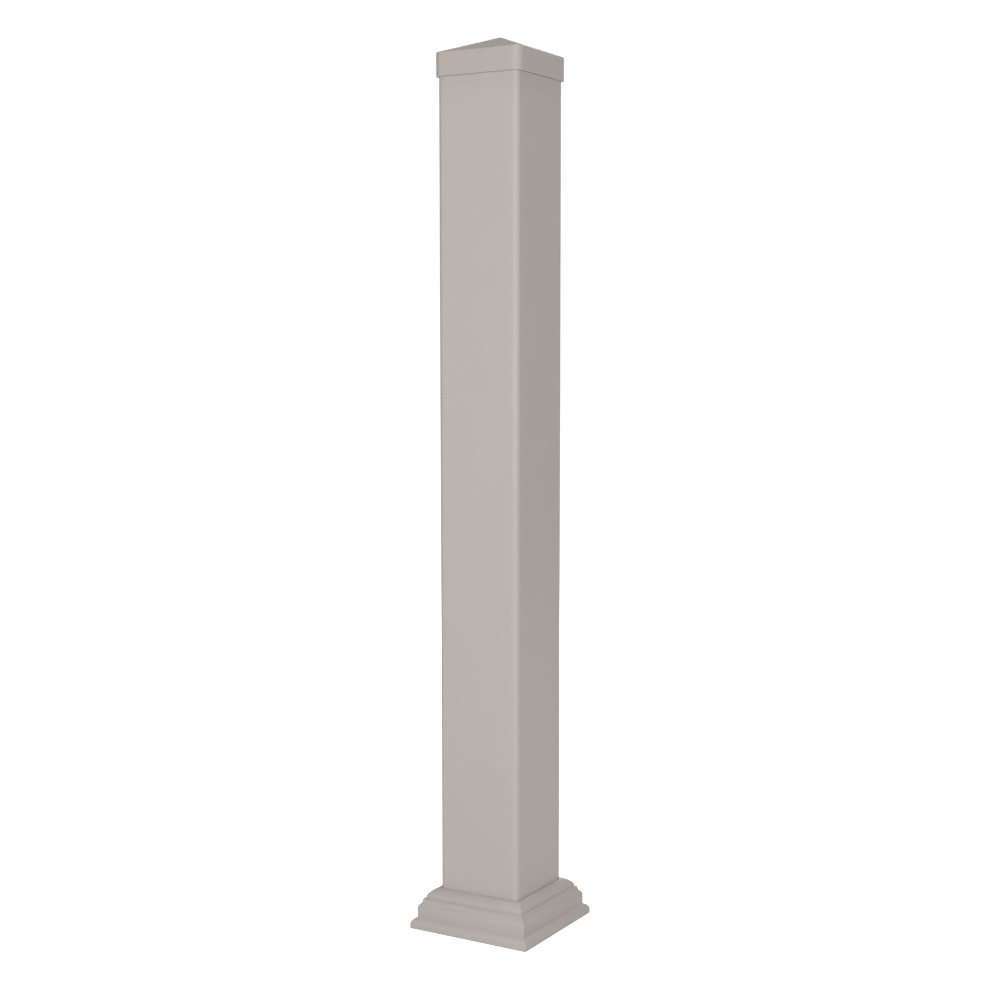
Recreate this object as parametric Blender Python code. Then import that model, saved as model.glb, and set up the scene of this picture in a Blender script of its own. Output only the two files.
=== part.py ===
"""Railing post sleeve: a square hollow vinyl sleeve that slips over a timber post, with a moulded skirt
round its foot and a slip-over cap with a low pyramid top.

Metres, +Z up. The origin is on the deck, at the middle of the sleeve, and the three pieces are concentric.
An outline here is a list of (half width, height) points, with the material on the left as it is followed.
"""

import math

import bmesh
import bpy
from mathutils import Matrix, Vector

# Sleeve: a square extrusion, 4 inches across and 38.5 inches long, for a post 89 mm across
SLEEVE_WIDTH = 0.1016
SLEEVE_LENGTH = 0.9779
SLEEVE_WALL = 0.0038
SLEEVE_CORNER = 0.00635

# Cap: a thin moulding that drops over the sleeve's top end and bears on it
CAP_CLEARANCE = 0.00068
CAP_WALL = 0.0025
CAP_ROOF_WALL = 0.0029
CAP_SIDE_HEIGHT = 0.0256
CAP_RISE = 0.0200
CAP_RIM_ROUND = 0.0020
CAP_HIP_CORNER = 0.0012
CAP_LIP_ROUND = 0.0006
CAP_APEX_ROUND = 0.0060
CAP_SEAT_GAP = 0.0003

# Skirt: a hollow moulding that drops over the sleeve and stands on the deck
SKIRT_CLEARANCE = 0.0004
SKIRT_WALL = 0.0026
SKIRT_CORNER = 0.0015

# Skirt members from the deck up: how high each rises, and how far it steps in towards the sleeve
FOOT_EDGE_RISE = 0.0055
FOOT_ROUND_RISE = 0.0065
FOOT_ROUND_STEP = 0.0062
BAND_RISE = 0.0120
OGEE_RISE = 0.0070
OGEE_STEP = 0.0044
FILLET_RISE = 0.0022
LEDGE_RISE = 0.0008
LEDGE_STEP = 0.0031
NECK_RISE = 0.0030
CROWN_RISE = 0.0080
CROWN_STEP = 0.0113

# How far the curved members bow out of the straight line between their ends
FOOT_ROUND_BOW = 0.0013
OGEE_BOW = 0.0004
CROWN_BOW = 0.0014

# Fineness of the round parts, the flat left at a pyramid's tip, and how near two points are one
ROUND_STEPS = 8
CRISP_STEPS = 4
ARC_STEPS = 5
TIP_HALF = 0.0003
SAME_POINT = 0.000001

SLEEVE_HALF = SLEEVE_WIDTH / 2
SLEEVE_CORE_HALF = SLEEVE_HALF - SLEEVE_WALL
SLEEVE_CORE_CORNER = SLEEVE_CORNER - SLEEVE_WALL

CAP_CORE_HALF = SLEEVE_HALF + CAP_CLEARANCE
CAP_HALF = CAP_CORE_HALF + CAP_WALL
CAP_CORNER = SLEEVE_CORNER + CAP_CLEARANCE + CAP_WALL
CAP_CORE_CORNER = CAP_CORNER - CAP_WALL
CAP_SLOPE = math.atan(CAP_RISE / CAP_HALF)

# How far in from the cap's sides its corners close to the hips: that far, they start off upright
CAP_SHOULDER = 2 * (CAP_CORNER - CAP_HIP_CORNER) / (2 + math.sqrt(2))

SKIRT_HOLE_HALF = SLEEVE_HALF + SKIRT_CLEARANCE
SKIRT_HOLE_CORNER = SLEEVE_CORNER + SKIRT_CLEARANCE

# The skirt's members from the deck up: rise, step and bow of each
SKIRT_MEMBERS = (
    (FOOT_EDGE_RISE, 0, 0),
    (FOOT_ROUND_RISE, FOOT_ROUND_STEP, FOOT_ROUND_BOW),
    (BAND_RISE, 0, 0),
    (OGEE_RISE / 2, OGEE_STEP / 2, OGEE_BOW),
    (OGEE_RISE / 2, OGEE_STEP / 2, -OGEE_BOW),
    (FILLET_RISE, 0, 0),
    (LEDGE_RISE, LEDGE_STEP, 0),
    (NECK_RISE, 0, 0),
    (CROWN_RISE, CROWN_STEP, CROWN_BOW),
)
SKIRT_HEIGHT = sum(rise for rise, step, bow in SKIRT_MEMBERS)
SKIRT_HALF = SKIRT_HOLE_HALF + sum(step for rise, step, bow in SKIRT_MEMBERS)
CROWN_FOOT_HALF = SKIRT_HOLE_HALF + CROWN_STEP


def arc(start, end, bow):
    """The points after start, up to end, on the arc that bows that far to the right of the straight line."""
    chord = end - start
    right = Vector((chord.y, -chord.x)).normalized()
    radius = (chord.length_squared / 4 + bow ** 2) / (2 * bow)
    centre = (start + end) / 2 + right * (bow - radius)
    turn = 2 * math.asin(chord.length / (2 * radius))
    angles = [turn * step / ARC_STEPS for step in range(1, ARC_STEPS + 1)]
    return [centre + Matrix.Rotation(angle, 2) @ (start - centre) for angle in angles]


def round_off(before, corner, after, radius):
    """The arc that takes a corner off the line from before to after, with both its ends."""
    back = (before - corner).normalized()
    ahead = (after - corner).normalized()
    half_angle = back.angle(ahead) / 2
    reach = radius / math.tan(half_angle)
    start = corner + back * reach
    return [start, *arc(start, corner + ahead * reach, radius * (1 - math.sin(half_angle)))]


def shift_left(points, distance):
    """The same line moved to its left, mitred at its corners."""
    sides = []
    for start, end in zip(points, points[1:]):
        along = (end - start).normalized()
        sides.append(Vector((-along.y, along.x)))
    moved = [points[0] + sides[0] * distance]
    for point, before, after in zip(points[1:], sides, sides[1:]):
        mitre = (before + after).normalized()
        moved.append(point + mitre * (distance / mitre.dot(before)))
    moved.append(points[-1] + sides[-1] * distance)
    return moved


def square_ring(bm, half, corner, height, steps):
    """A closed loop of edges: a level square with rounded corners."""
    verts = []
    for quarter in range(4):
        centre = Matrix.Rotation(math.radians(90 * quarter), 2) @ Vector((half - corner, half - corner))
        for step in range(steps + 1):
            angle = math.radians(90 * (quarter + step / steps))
            point = centre + corner * Vector((math.cos(angle), math.sin(angle)))
            verts.append(bm.verts.new((*point, height)))
    return [bm.edges.new(pair) for pair in zip(verts, verts[1:] + verts[:1])]


def loft(name, rings, steps, returns):
    """One closed solid through rings of (half width, corner radius, height). Where it returns, the last ring
    joins the first, as in a tube; otherwise each end is closed by a face."""
    bm = bmesh.new()
    following = rings[1:] + rings[:1] if returns else rings[1:]
    for ring, next_ring in zip(rings, following):
        loops = square_ring(bm, *ring, steps) + square_ring(bm, *next_ring, steps)
        bmesh.ops.bridge_loops(bm, edges=loops)
    if not returns:
        bmesh.ops.contextual_create(bm, geom=square_ring(bm, *rings[0], steps))
        bmesh.ops.contextual_create(bm, geom=square_ring(bm, *rings[-1], steps))
    bmesh.ops.remove_doubles(bm, verts=bm.verts, dist=SAME_POINT)
    bmesh.ops.recalc_face_normals(bm, faces=bm.faces)
    mesh = bpy.data.meshes.new(name)
    bm.to_mesh(mesh)
    bm.free()
    mesh.shade_smooth()
    mesh.set_sharp_from_angle(angle=math.radians(30))
    piece = bpy.data.objects.new(name, mesh)
    bpy.context.scene.collection.objects.link(piece)
    return piece


def vinyl(piece, colour, roughness):
    """Gives the piece a plastic of its own."""
    material = bpy.data.materials.new(piece.name + "_vinyl")
    material.use_nodes = True
    shader = material.node_tree.nodes["Principled BSDF"]
    shader.inputs["Base Color"].default_value = (*colour, 1)
    shader.inputs["Roughness"].default_value = roughness
    shader.inputs["Metallic"].default_value = 0
    piece.data.materials.append(material)


def ceiling_drop(half):
    """How far the underside of the cap's pyramid, at that half width, is below the pyramid's sharp tip."""
    return CAP_ROOF_WALL / math.cos(CAP_SLOPE) + half * math.tan(CAP_SLOPE)


CAP_TIP_HEIGHT = CAP_SIDE_HEIGHT + CAP_RISE
CAP_PLACE = SLEEVE_LENGTH + CAP_SEAT_GAP + ceiling_drop(SLEEVE_HALF) - CAP_TIP_HEIGHT


def make_sleeve():
    """The square tube, open at both ends."""
    rings = [
        (SLEEVE_HALF, SLEEVE_CORNER, 0),
        (SLEEVE_HALF, SLEEVE_CORNER, SLEEVE_LENGTH),
        (SLEEVE_CORE_HALF, SLEEVE_CORE_CORNER, SLEEVE_LENGTH),
        (SLEEVE_CORE_HALF, SLEEVE_CORE_CORNER, 0),
    ]
    sleeve = loft("post_sleeve", rings, ROUND_STEPS, returns=True)
    vinyl(sleeve, (0.48, 0.437, 0.405), 0.42)


def roof_corner(half):
    """The cap's corner radius from its sides up: full at the rim, closing over the shoulder to the hips', and
    less at the tip."""
    up_shoulder = min(1, (CAP_HALF - half) / CAP_SHOULDER)
    shoulder_corner = CAP_HIP_CORNER + (CAP_CORNER - CAP_HIP_CORNER) * (1 - up_shoulder) ** 2
    return min(shoulder_corner, half / 2)


def make_cap():
    """The hollow cap, from the underside of its pyramid down to the lip and up the outside to the tip."""
    tip = Vector((0, CAP_TIP_HEIGHT))
    far_rim = Vector((-CAP_HALF, CAP_SIDE_HEIGHT))
    rim = Vector((CAP_HALF, CAP_SIDE_HEIGHT))
    lip = Vector((CAP_HALF, 0))
    core_lip = Vector((CAP_CORE_HALF, 0))
    core = [
        Vector((TIP_HALF, CAP_TIP_HEIGHT - ceiling_drop(TIP_HALF))),
        Vector((CAP_CORE_HALF, CAP_TIP_HEIGHT - ceiling_drop(CAP_CORE_HALF))),
        core_lip,
    ]
    lip_arc = round_off(core_lip, lip, rim, CAP_LIP_ROUND)
    rim_arc = round_off(lip, rim, tip, CAP_RIM_ROUND)
    shoulder_end = rim.lerp(tip, CAP_SHOULDER / CAP_HALF)
    roof = [
        *rim_arc,
        *(rim_arc[-1].lerp(shoulder_end, step / ARC_STEPS) for step in range(1, ARC_STEPS + 1)),
        *(point for point in round_off(rim, tip, far_rim, CAP_APEX_ROUND) if point.x > TIP_HALF),
    ]
    rings = [(half, CAP_CORE_CORNER * half / CAP_CORE_HALF, height) for half, height in core]
    rings += [(half, CAP_CORNER - CAP_HALF + half, height) for half, height in lip_arc]
    rings += [(half, roof_corner(half), height) for half, height in roof]
    cap = loft("post_cap", rings, ROUND_STEPS, returns=False)
    cap.location.z = CAP_PLACE
    vinyl(cap, (0.48, 0.437, 0.405), 0.38)


def skirt_corner(half):
    """The skirt's corner radius: crisp up to the neck, then opening over the crown to the sleeve's corner."""
    up_crown = max(0, (CROWN_FOOT_HALF - half) / CROWN_STEP)
    return SKIRT_CORNER + (SKIRT_HOLE_CORNER - SKIRT_CORNER) * up_crown


def make_skirt():
    """The stepped skirt: up its outside from the deck to the sleeve, and back down inside along a plainer line
    that keeps the wall's thickness."""
    outside = [Vector((SKIRT_HALF, 0))]
    ends = outside[:]
    for rise, step, bow in SKIRT_MEMBERS:
        end = ends[-1] + Vector((-step, rise))
        outside += arc(ends[-1], end, bow) if bow else [end]
        ends.append(end)
    foot, foot_edge, band_foot, band_top, ogee_middle, ogee_top, *upper, crown_top = ends
    core = shift_left([foot, foot_edge, band_foot, band_top, ogee_top, crown_top], SKIRT_WALL)
    slope = core[-1] - core[-2]
    core[-1] += slope * ((SKIRT_HOLE_HALF - core[-1].x) / slope.x)
    rings = [(half, skirt_corner(half), height) for half, height in outside]
    rings += [(half, skirt_corner(half), height) for half, height in reversed(core)]
    skirt = loft("base_skirt", rings, CRISP_STEPS, returns=True)
    vinyl(skirt, (0.48, 0.437, 0.405), 0.42)


for leftover in list(bpy.data.objects):
    bpy.data.objects.remove(leftover)
make_sleeve()
make_cap()
make_skirt()
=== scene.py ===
"""Studio picture of a railing post sleeve: the square vinyl sleeve, its slip-over cap and its base skirt.

Metres, +Z up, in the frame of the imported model. An outline is a list of (half width, height) points, with the
material on the left as it is followed.
"""

import math

import bmesh
import bpy
from mathutils import Matrix, Vector


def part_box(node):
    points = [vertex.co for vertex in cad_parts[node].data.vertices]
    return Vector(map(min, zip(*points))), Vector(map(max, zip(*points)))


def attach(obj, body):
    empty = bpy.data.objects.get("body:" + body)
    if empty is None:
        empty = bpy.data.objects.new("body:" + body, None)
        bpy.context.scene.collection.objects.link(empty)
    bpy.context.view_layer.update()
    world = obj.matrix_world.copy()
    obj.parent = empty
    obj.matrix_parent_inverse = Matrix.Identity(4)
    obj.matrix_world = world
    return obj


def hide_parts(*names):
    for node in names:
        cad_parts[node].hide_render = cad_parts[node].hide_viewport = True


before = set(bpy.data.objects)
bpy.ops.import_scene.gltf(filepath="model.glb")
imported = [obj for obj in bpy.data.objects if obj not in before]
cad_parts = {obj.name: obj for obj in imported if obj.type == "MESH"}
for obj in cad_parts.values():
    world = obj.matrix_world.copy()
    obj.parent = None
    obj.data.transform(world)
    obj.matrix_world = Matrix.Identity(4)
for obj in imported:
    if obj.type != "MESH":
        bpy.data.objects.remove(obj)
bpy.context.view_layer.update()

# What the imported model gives
SLEEVE_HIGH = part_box("post_sleeve")[1]
CAP_LOW, CAP_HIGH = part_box("post_cap")
SKIRT_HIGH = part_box("base_skirt")[1]
SLEEVE_HALF = SLEEVE_HIGH[0]
SLEEVE_TOP = SLEEVE_HIGH[2]
CAP_HALF = CAP_HIGH[0]
CAP_FOOT = CAP_LOW[2]
SKIRT_HALF = SKIRT_HIGH[0]

# Sleeve
SLEEVE_WALL = 0.0038
SLEEVE_CORNER = 0.00635

# Cap
CAP_WALL = 0.0025
CAP_ROOF_WALL = 0.0029
CAP_SIDE_HEIGHT = 0.0256
CAP_RISE = 0.0200
CAP_RIM_ROUND = 0.0020
CAP_HIP_CORNER = 0.0012
CAP_LIP_ROUND = 0.0006
CAP_APEX_ROUND = 0.0060

# Skirt
SKIRT_CLEARANCE = 0.0004
SKIRT_WALL = 0.0026
SKIRT_CORNER = 0.0015

# Skirt members from the deck up: rise, step in and bow of each
FOOT_EDGE = (0.0055, 0, 0)
FOOT_ROUND = (0.0065, 0.0062, 0.0013)
BAND = (0.0120, 0, 0)
OGEE_LOWER = (0.0035, 0.0022, 0.0004)
OGEE_UPPER = (0.0035, 0.0022, -0.0004)
FILLET = (0.0022, 0, 0)
LEDGE = (0.0008, 0.0031, 0)
NECK = (0.0030, 0, 0)
CROWN = (0.0080, 0.0113, 0.0014)
SKIRT_MEMBERS = (FOOT_EDGE, FOOT_ROUND, BAND, OGEE_LOWER, OGEE_UPPER, FILLET, LEDGE, NECK, CROWN)
SKIRT_HOLLOW_FOLLOWS = (FOOT_EDGE, FOOT_ROUND, BAND, OGEE_UPPER, CROWN)

# Edges that the saw or the mould leaves a little soft
SAWN_EDGE = 0.0003
MOULDED_EDGE = 0.00045
SHARP_ANGLE = 24

# Fineness
EDGE_STEPS = 3
CORNER_STEPS = 16
ARC_STEPS = 9
TIP_HALF = 0.0003
SAME_POINT = 0.000001
FLATS_FIRST = 100

# Camera, as solved from the photograph
EYE = (0.9729, -1.6375, 0.6661)
LOOK_DOWN = 5.339
LOOK_AZIMUTH = 30.746
LOOK_ROLL = -0.039
FOCAL_PIXELS = 1693.15
FRAME_PIXELS = 1000
SENSOR_WIDTH = 36

# Vinyl
SLEEVE_PIGMENT = (0.418, 0.393, 0.373)
MOULDED_PIGMENT = (0.401, 0.378, 0.358)
SATIN = 0.48
SAWN = 0.72
VINYL_IOR = 1.53
SHEEN = 0.03
SHEEN_ROUGHNESS = 0.4

# How far the colour drifts and flecks, and the gloss changes in patches
DRIFT = 0.06
FLECK = 0.14
PATCHES = 0.12

# Noises: lumps to the metre, and how many finer sizes are mixed in
DRIFT_NOISE = (9, 2)
PATCH_NOISE = (35, 3)
DIE_LINE_NOISE = (420, 3)
FLECK_NOISE = (1300, 1)
FINE_GRAIN_NOISE = (2600, 2)

# Scales of the other patterns
BLADE_RING_SCALE = 220
GRAIN_SCALE = 1500

# Relief: how deep, and what shapes it
DIE_LINE_DEPTH = 0.00009
DIE_LINE_STRETCH = (1, 1, 0.004)
BLADE_CENTRE = (0.13, 0.05, 0)
BLADE_WANDER = 3
SAWN_END_FACING = 0.9
GRAIN_DEPTH = 0.00006
GRAIN_SMOOTHNESS = 0.8
FINE_GRAIN_SHARE = 0.5

# Floor
FLOOR_SIZE = 30
FLOOR_DROP = 0.0002
FLOOR_PAINT = (0.9, 0.9, 0.9, 1)
WHITE = (1, 1, 1, 1)

# Light. Each softbox: azimuth round the post, distance, height, size, watts and colour
AMBIENT = 0.1
AIR_SHOWN = 1.05
FLOOR_GLOW = 0.97
WARM = (1, 0.952, 0.932)
NEUTRAL = (1, 1, 1)
SOFTBOXES = {
    "overhead": (30, 0.80, 8.00, 2.5, 223, NEUTRAL),
    "overhead_right": (100, 2.00, 8.00, 2.5, 72, NEUTRAL),
    "front": (5, 2.30, 0.80, 0.9, 17.9, WARM),
    "front_left": (-30, 4.89, 1.54, 1.8, 26, WARM),
    "corner": (50, 4.89, 1.54, 1.8, 96, WARM),
    "right": (120, 1.30, 1.00, 0.5, 2.3, NEUTRAL),
    "back": (205, 2.40, 1.20, 1.0, 16, NEUTRAL),
}


def arc(start, end, bow):
    """The points after start, up to end, on the arc that bows that far to the right of the straight line."""
    chord = end - start
    right = Vector((chord.y, -chord.x)).normalized()
    radius = (chord.length_squared / 4 + bow ** 2) / (2 * bow)
    centre = (start + end) / 2 + right * (bow - radius)
    turn = 2 * math.asin(chord.length / (2 * radius))
    angles = [turn * step / ARC_STEPS for step in range(1, ARC_STEPS + 1)]
    return [centre + Matrix.Rotation(angle, 2) @ (start - centre) for angle in angles]


def round_off(before, corner, after, radius):
    """The arc that takes a corner off the line from before to after, with both its ends."""
    back = (before - corner).normalized()
    ahead = (after - corner).normalized()
    half_angle = back.angle(ahead) / 2
    reach = radius / math.tan(half_angle)
    start = corner + back * reach
    return [start, *arc(start, corner + ahead * reach, radius * (1 - math.sin(half_angle)))]


def shift_left(points, distance):
    """The same line moved to its left, mitred at its corners."""
    sides = []
    for start, end in zip(points, points[1:]):
        along = (end - start).normalized()
        sides.append(Vector((-along.y, along.x)))
    moved = [points[0] + sides[0] * distance]
    for point, before, after in zip(points[1:], sides, sides[1:]):
        mitre = (before + after).normalized()
        moved.append(point + mitre * (distance / mitre.dot(before)))
    moved.append(points[-1] + sides[-1] * distance)
    return moved


def square_loop(bm, half, corner, height):
    """The edges of a level square with rounded corners, and its face."""
    level = Matrix.Translation((0, 0, height))
    square = bmesh.ops.create_grid(bm, x_segments=1, y_segments=1, size=half, matrix=level)
    rounded = bmesh.ops.bevel(
        bm, geom=square["verts"], offset=corner, segments=CORNER_STEPS, profile=0.5, affect="VERTICES", material=-1
    )
    face = rounded["verts"][0].link_faces[0]
    return list(face.edges), face


def loft(name, rings, returns):
    """A closed shell through rings of (half width, corner radius, height), each pair bridged."""
    bm = bmesh.new()
    following = rings[1:] + rings[:1] if returns else rings[1:]
    for ring, next_ring in zip(rings, following):
        edges, face = square_loop(bm, *ring)
        next_edges, next_face = square_loop(bm, *next_ring)
        bmesh.ops.delete(bm, geom=[face, next_face], context="FACES_ONLY")
        bmesh.ops.bridge_loops(bm, edges=edges + next_edges)
    if not returns:
        square_loop(bm, *rings[0])
        square_loop(bm, *rings[-1])
    bmesh.ops.remove_doubles(bm, verts=bm.verts, dist=SAME_POINT)
    bmesh.ops.recalc_face_normals(bm, faces=bm.faces)
    mesh = bpy.data.meshes.new(name)
    bm.to_mesh(mesh)
    bm.free()
    mesh.shade_smooth()
    piece = bpy.data.objects.new(name, mesh)
    bpy.context.scene.collection.objects.link(piece)
    return piece


def soften(piece, width):
    """Breaks the sharp edges, and keeps the flats flat in the shading."""
    bevel = piece.modifiers.new("soft edges", "BEVEL")
    bevel.width = width
    bevel.segments = EDGE_STEPS
    bevel.limit_method = "ANGLE"
    bevel.angle_limit = math.radians(SHARP_ANGLE)
    normals = piece.modifiers.new("flat flats", "WEIGHTED_NORMAL")
    normals.weight = FLATS_FIRST


def stands_for(piece, node, material):
    """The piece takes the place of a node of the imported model."""
    piece.data.materials.append(material)
    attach(piece, "root")
    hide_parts(node)


def make_sleeve(material):
    """The square tube, sawn square at both ends."""
    core_half = SLEEVE_HALF - SLEEVE_WALL
    core_corner = SLEEVE_CORNER - SLEEVE_WALL
    rings = [
        (SLEEVE_HALF, SLEEVE_CORNER, 0),
        (SLEEVE_HALF, SLEEVE_CORNER, SLEEVE_TOP),
        (core_half, core_corner, SLEEVE_TOP),
        (core_half, core_corner, 0),
    ]
    sleeve = loft("sleeve_tube", rings, returns=True)
    soften(sleeve, SAWN_EDGE)
    stands_for(sleeve, "post_sleeve", material)


def make_cap(material):
    """The hollow cap, from the underside of its pyramid down to the lip and up the outside to the tip."""
    core_half = CAP_HALF - CAP_WALL
    corner = SLEEVE_CORNER + CAP_HALF - SLEEVE_HALF
    # Over this width the side's round corner runs out into the hip. It is as wide as keeps the corner's middle
    # rising straight up at the rim, as it does on the side below.
    shoulder = 2 * (corner - CAP_HIP_CORNER) / (2 + math.sqrt(2))

    def roof_corner(half):
        up_shoulder = min(1, (CAP_HALF - half) / shoulder)
        return min(CAP_HIP_CORNER + (corner - CAP_HIP_CORNER) * (1 - up_shoulder) ** 2, half / 2)

    slope = math.atan(CAP_RISE / CAP_HALF)
    tip = Vector((0, CAP_SIDE_HEIGHT + CAP_RISE))
    rim = Vector((CAP_HALF, CAP_SIDE_HEIGHT))
    far_rim = Vector((-CAP_HALF, CAP_SIDE_HEIGHT))
    lip = Vector((CAP_HALF, 0))
    core_lip = Vector((core_half, 0))
    core_tip = tip - Vector((0, CAP_ROOF_WALL / math.cos(slope)))
    core_fall = Vector((1, -math.tan(slope)))
    core = [core_tip + core_fall * TIP_HALF, core_tip + core_fall * core_half, core_lip]
    lip_arc = round_off(core_lip, lip, rim, CAP_LIP_ROUND)
    rim_arc = round_off(lip, rim, tip, CAP_RIM_ROUND)
    shoulder_end = rim.lerp(tip, shoulder / CAP_HALF)
    roof = [
        *rim_arc,
        *(rim_arc[-1].lerp(shoulder_end, step / ARC_STEPS) for step in range(1, ARC_STEPS + 1)),
        *(point for point in round_off(rim, tip, far_rim, CAP_APEX_ROUND) if point.x > TIP_HALF),
    ]
    rings = [(half, (corner - CAP_WALL) * half / core_half, CAP_FOOT + height) for half, height in core]
    rings += [(half, corner - CAP_HALF + half, CAP_FOOT + height) for half, height in lip_arc]
    rings += [(half, roof_corner(half), CAP_FOOT + height) for half, height in roof]
    cap = loft("cap_moulding", rings, returns=False)
    soften(cap, MOULDED_EDGE)
    stands_for(cap, "post_cap", material)


def make_skirt(material):
    """The stepped skirt: up its outside from the deck to the sleeve, and back down inside on a plainer line."""
    hole_half = SLEEVE_HALF + SKIRT_CLEARANCE
    hole_corner = SLEEVE_CORNER + SKIRT_CLEARANCE
    crown_step = CROWN[1]

    def ring(point):
        up_crown = max(0, (hole_half + crown_step - point.x) / crown_step)
        return point.x, SKIRT_CORNER + (hole_corner - SKIRT_CORNER) * up_crown, point.y

    end = Vector((SKIRT_HALF, 0))
    outside = [end]
    followed = [end]
    for member in SKIRT_MEMBERS:
        rise, step, bow = member
        start, end = end, end + Vector((-step, rise))
        outside += arc(start, end, bow) if bow else [end]
        if member in SKIRT_HOLLOW_FOLLOWS:
            followed.append(end)
    core = shift_left(followed, SKIRT_WALL)
    slope = core[-1] - core[-2]
    core[-1] += slope * ((hole_half - core[-1].x) / slope.x)
    skirt = loft("skirt_moulding", [ring(point) for point in outside + core[::-1]], returns=True)
    soften(skirt, MOULDED_EDGE)
    stands_for(skirt, "base_skirt", material)


def new_group(name, inputs, outputs):
    """An empty node group, with its start and its end."""
    tree = bpy.data.node_groups.new(name, "ShaderNodeTree")
    for label, kind in inputs.items():
        tree.interface.new_socket(label, in_out="INPUT", socket_type=kind)
    for label, kind in outputs.items():
        tree.interface.new_socket(label, in_out="OUTPUT", socket_type=kind)
    return tree, tree.nodes.new("NodeGroupInput"), tree.nodes.new("NodeGroupOutput")


def feed(tree, socket, value):
    """Gives a socket a number or a colour, or another node's output."""
    if isinstance(value, bpy.types.NodeSocket):
        tree.links.new(value, socket)
    else:
        socket.default_value = value


def calc(tree, operation, *values):
    """A Math node, each input a number or another node's output."""
    node = tree.nodes.new("ShaderNodeMath")
    node.operation = operation
    for socket, value in zip(node.inputs, values):
        feed(tree, socket, value)
    return node.outputs["Value"]


def about_zero(tree, value):
    """A pattern that averages a half, moved to average nothing."""
    return calc(tree, "SUBTRACT", value, 0.5)


def noise(tree, place, scale, detail):
    """Noise at that many lumps to the metre."""
    node = tree.nodes.new("ShaderNodeTexNoise")
    node.inputs["Scale"].default_value = scale
    node.inputs["Detail"].default_value = detail
    tree.links.new(place, node.inputs["Vector"])
    return node.outputs["Fac"]


def mapped(tree, place, label, value):
    """Object coordinates, with one setting of a Mapping node changed."""
    node = tree.nodes.new("ShaderNodeMapping")
    node.inputs[label].default_value = value
    tree.links.new(place.outputs["Object"], node.inputs["Vector"])
    return node.outputs["Vector"]


def use_group(tree, name, place, **values):
    """Puts a shared group into a material, with the material's own values."""
    node = tree.nodes.new("ShaderNodeGroup")
    node.node_tree = bpy.data.node_groups[name]
    tree.links.new(place.outputs["Object"], node.inputs["Place"])
    for label, value in values.items():
        feed(tree, node.inputs[label], value)
    return node


def pigment_group():
    """The colour of one batch of vinyl: it drifts a little from place to place, and has fine flecks."""
    tree, start, end = new_group(
        "pigment",
        {
            "Place": "NodeSocketVector",
            "Pigment": "NodeSocketColor",
            "Drift": "NodeSocketFloat",
            "Fleck": "NodeSocketFloat",
        },
        {"Colour": "NodeSocketColor"},
    )
    place = start.outputs["Place"]
    lumps = about_zero(tree, noise(tree, place, *DRIFT_NOISE))
    specks = about_zero(tree, noise(tree, place, *FLECK_NOISE))
    drift = calc(tree, "MULTIPLY", lumps, start.outputs["Drift"])
    fleck = calc(tree, "MULTIPLY", specks, start.outputs["Fleck"])
    tone = tree.nodes.new("ShaderNodeHueSaturation")
    tree.links.new(start.outputs["Pigment"], tone.inputs["Color"])
    tree.links.new(calc(tree, "ADD", calc(tree, "ADD", drift, fleck), 1), tone.inputs["Value"])
    tree.links.new(tone.outputs["Color"], end.inputs["Colour"])


def satin_group():
    """The gloss of the vinyl: roughness that varies in soft patches and with the surface's own relief."""
    tree, start, end = new_group(
        "satin",
        {
            "Place": "NodeSocketVector",
            "Relief": "NodeSocketFloat",
            "Roughness": "NodeSocketFloat",
            "Patches": "NodeSocketFloat",
        },
        {"Roughness": "NodeSocketFloat"},
    )
    patches = about_zero(tree, noise(tree, start.outputs["Place"], *PATCH_NOISE))
    relief = about_zero(tree, start.outputs["Relief"])
    both = calc(tree, "MULTIPLY", calc(tree, "ADD", patches, relief), start.outputs["Patches"])
    tree.links.new(calc(tree, "ADD", start.outputs["Roughness"], both), end.inputs["Roughness"])


def mould_grain_group():
    """The fine leathery grain that an etched mould gives."""
    tree, start, end = new_group("mould_grain", {"Place": "NodeSocketVector"}, {"Grain": "NodeSocketFloat"})
    cells = tree.nodes.new("ShaderNodeTexVoronoi")
    cells.feature = "SMOOTH_F1"
    cells.inputs["Scale"].default_value = GRAIN_SCALE
    cells.inputs["Smoothness"].default_value = GRAIN_SMOOTHNESS
    tree.links.new(start.outputs["Place"], cells.inputs["Vector"])
    fine = noise(tree, start.outputs["Place"], *FINE_GRAIN_NOISE)
    grain = calc(tree, "MULTIPLY_ADD", fine, FINE_GRAIN_SHARE, cells.outputs["Distance"])
    tree.links.new(grain, end.inputs["Grain"])


def vinyl(name, pigment):
    """A material with the shared colour: its tree, its shader and its coordinates."""
    material = bpy.data.materials.new(name)
    material.use_nodes = True
    tree = material.node_tree
    shader = tree.nodes["Principled BSDF"]
    shader.inputs["IOR"].default_value = VINYL_IOR
    shader.inputs["Sheen Weight"].default_value = SHEEN
    shader.inputs["Sheen Roughness"].default_value = SHEEN_ROUGHNESS
    place = tree.nodes.new("ShaderNodeTexCoord")
    colour = use_group(tree, "pigment", place, Pigment=(*pigment, 1), Drift=DRIFT, Fleck=FLECK)
    tree.links.new(colour.outputs["Colour"], shader.inputs["Base Color"])
    return material, tree, shader, place


def finish_surface(tree, shader, place, relief, depth, roughness):
    """Joins the relief to the shader as bump, and the roughness that goes with it."""
    satin = use_group(tree, "satin", place, Relief=relief, Roughness=roughness, Patches=PATCHES)
    tree.links.new(satin.outputs["Roughness"], shader.inputs["Roughness"])
    bump = tree.nodes.new("ShaderNodeBump")
    bump.inputs["Strength"].default_value = 1
    bump.inputs["Distance"].default_value = depth
    tree.links.new(relief, bump.inputs["Height"])
    tree.links.new(bump.outputs["Normal"], shader.inputs["Normal"])


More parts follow.
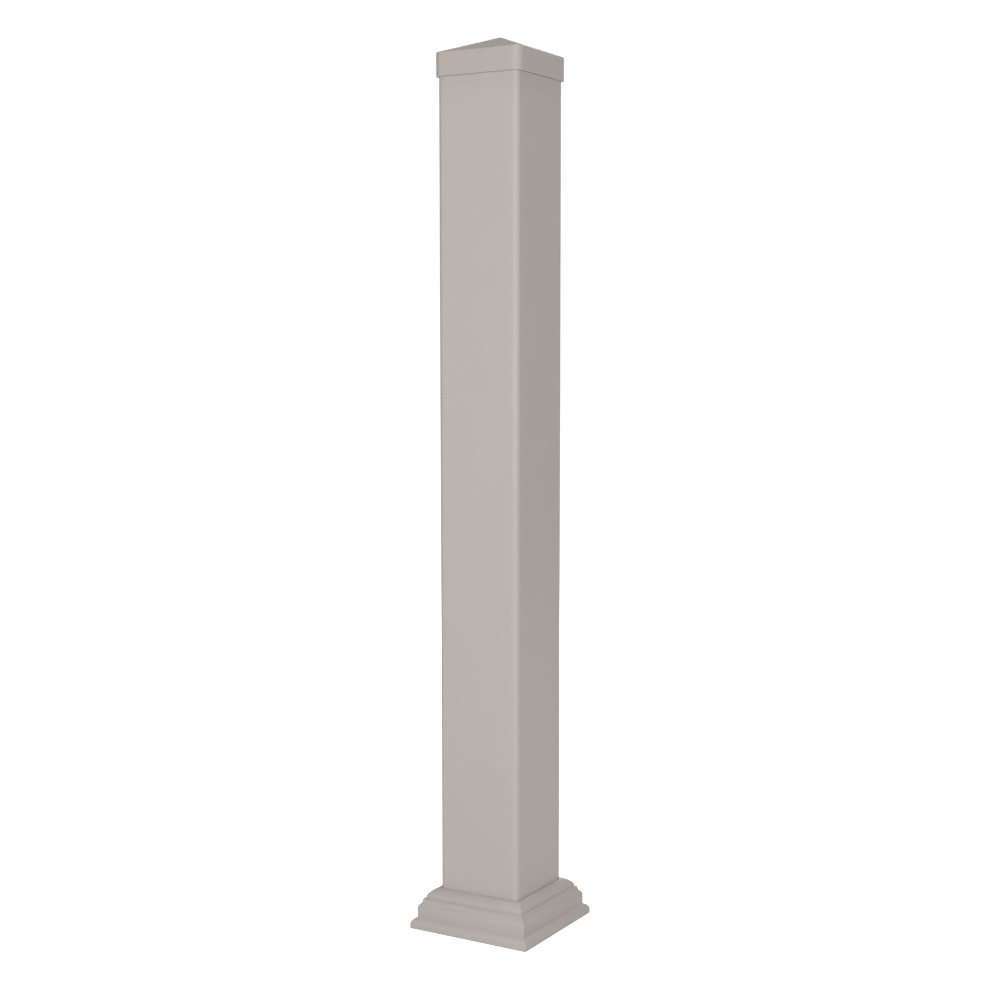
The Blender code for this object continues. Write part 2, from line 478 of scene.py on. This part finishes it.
def extruded_vinyl(name):
    """The sleeve: faint lines left by the die along its length, and duller sawn ends with the marks of the blade."""
    material, tree, shader, place = vinyl(name, SLEEVE_PIGMENT)
    lines = noise(tree, mapped(tree, place, "Scale", DIE_LINE_STRETCH), *DIE_LINE_NOISE)
    blade = tree.nodes.new("ShaderNodeTexWave")
    blade.wave_type = "RINGS"
    blade.inputs["Scale"].default_value = BLADE_RING_SCALE
    blade.inputs["Distortion"].default_value = BLADE_WANDER
    tree.links.new(mapped(tree, place, "Location", BLADE_CENTRE), blade.inputs["Vector"])
    facing = tree.nodes.new("ShaderNodeSeparateXYZ")
    tree.links.new(place.outputs["Normal"], facing.inputs["Vector"])
    sawn = calc(tree, "GREATER_THAN", calc(tree, "ABSOLUTE", facing.outputs["Z"]), SAWN_END_FACING)
    step = calc(tree, "MULTIPLY", calc(tree, "SUBTRACT", blade.outputs["Fac"], lines), sawn)
    relief = calc(tree, "ADD", lines, step)
    roughness = calc(tree, "MULTIPLY_ADD", sawn, SAWN - SATIN, SATIN)
    finish_surface(tree, shader, place, relief, DIE_LINE_DEPTH, roughness)
    return material


def moulded_vinyl(name):
    """The cap and the skirt: the grain of the mould."""
    material, tree, shader, place = vinyl(name, MOULDED_PIGMENT)
    grain = use_group(tree, "mould_grain", place)
    finish_surface(tree, shader, place, grain.outputs["Grain"], GRAIN_DEPTH, SATIN)
    return material


def make_floor():
    """A plain pale floor that shows white. Its glow is for the camera alone and lights nothing."""
    bpy.ops.mesh.primitive_plane_add(size=FLOOR_SIZE, location=(0, 0, -FLOOR_DROP))
    floor = bpy.context.object
    floor.name = "floor"
    material = bpy.data.materials.new("pale_floor")
    material.use_nodes = True
    tree = material.node_tree
    shader = tree.nodes["Principled BSDF"]
    shader.inputs["Base Color"].default_value = FLOOR_PAINT
    shader.inputs["Roughness"].default_value = 1
    shader.inputs["Specular IOR Level"].default_value = 0
    shader.inputs["Emission Color"].default_value = WHITE
    path = tree.nodes.new("ShaderNodeLightPath")
    glow = calc(tree, "MULTIPLY", path.outputs["Is Camera Ray"], FLOOR_GLOW)
    tree.links.new(glow, shader.inputs["Emission Strength"])
    floor.data.materials.append(material)


def make_air():
    """Even light from all round, shown as white."""
    world = bpy.data.worlds.new("studio_air")
    bpy.context.scene.world = world
    world.use_nodes = True
    tree = world.node_tree
    background = tree.nodes["Background"]
    background.inputs["Color"].default_value = WHITE
    path = tree.nodes.new("ShaderNodeLightPath")
    strength = tree.nodes.new("ShaderNodeMix")
    strength.inputs["A"].default_value = AMBIENT
    strength.inputs["B"].default_value = AIR_SHOWN
    tree.links.new(path.outputs["Is Camera Ray"], strength.inputs["Factor"])
    tree.links.new(strength.outputs["Result"], background.inputs["Strength"])


def softbox(name, azimuth, distance, height, size, watts, colour):
    """A square softbox at that azimuth round the post, aimed at its middle."""
    lamp = bpy.data.lights.new(name, "AREA")
    lamp.size = size
    lamp.energy = watts
    lamp.color = colour
    box = bpy.data.objects.new(name, lamp)
    turn = math.radians(azimuth)
    box.location = (distance * math.sin(turn), -distance * math.cos(turn), height)
    aim = Vector((0, 0, SLEEVE_TOP / 2)) - box.location
    box.rotation_euler = aim.to_track_quat("-Z", "Y").to_euler()
    bpy.context.scene.collection.objects.link(box)


def make_camera():
    """The photograph's camera."""
    lens = bpy.data.cameras.new("camera")
    lens.sensor_width = SENSOR_WIDTH
    lens.lens = FOCAL_PIXELS * SENSOR_WIDTH / FRAME_PIXELS
    camera = bpy.data.objects.new("camera", lens)
    camera.location = EYE
    turn = Matrix.Rotation(math.radians(LOOK_AZIMUTH), 3, "Z")
    tilt = Matrix.Rotation(math.radians(90 - LOOK_DOWN), 3, "X")
    roll = Matrix.Rotation(math.radians(LOOK_ROLL), 3, "Z")
    camera.rotation_euler = (turn @ tilt @ roll).to_euler()
    bpy.context.scene.collection.objects.link(camera)
    bpy.context.scene.camera = camera


bpy.context.scene.view_settings.view_transform = "Standard"
make_camera()
pigment_group()
satin_group()
mould_grain_group()
make_sleeve(extruded_vinyl("sleeve_vinyl"))
make_cap(moulded_vinyl("cap_vinyl"))
make_skirt(moulded_vinyl("skirt_vinyl"))
make_floor()
make_air()
for name, setting in SOFTBOXES.items():
    softbox(name, *setting)
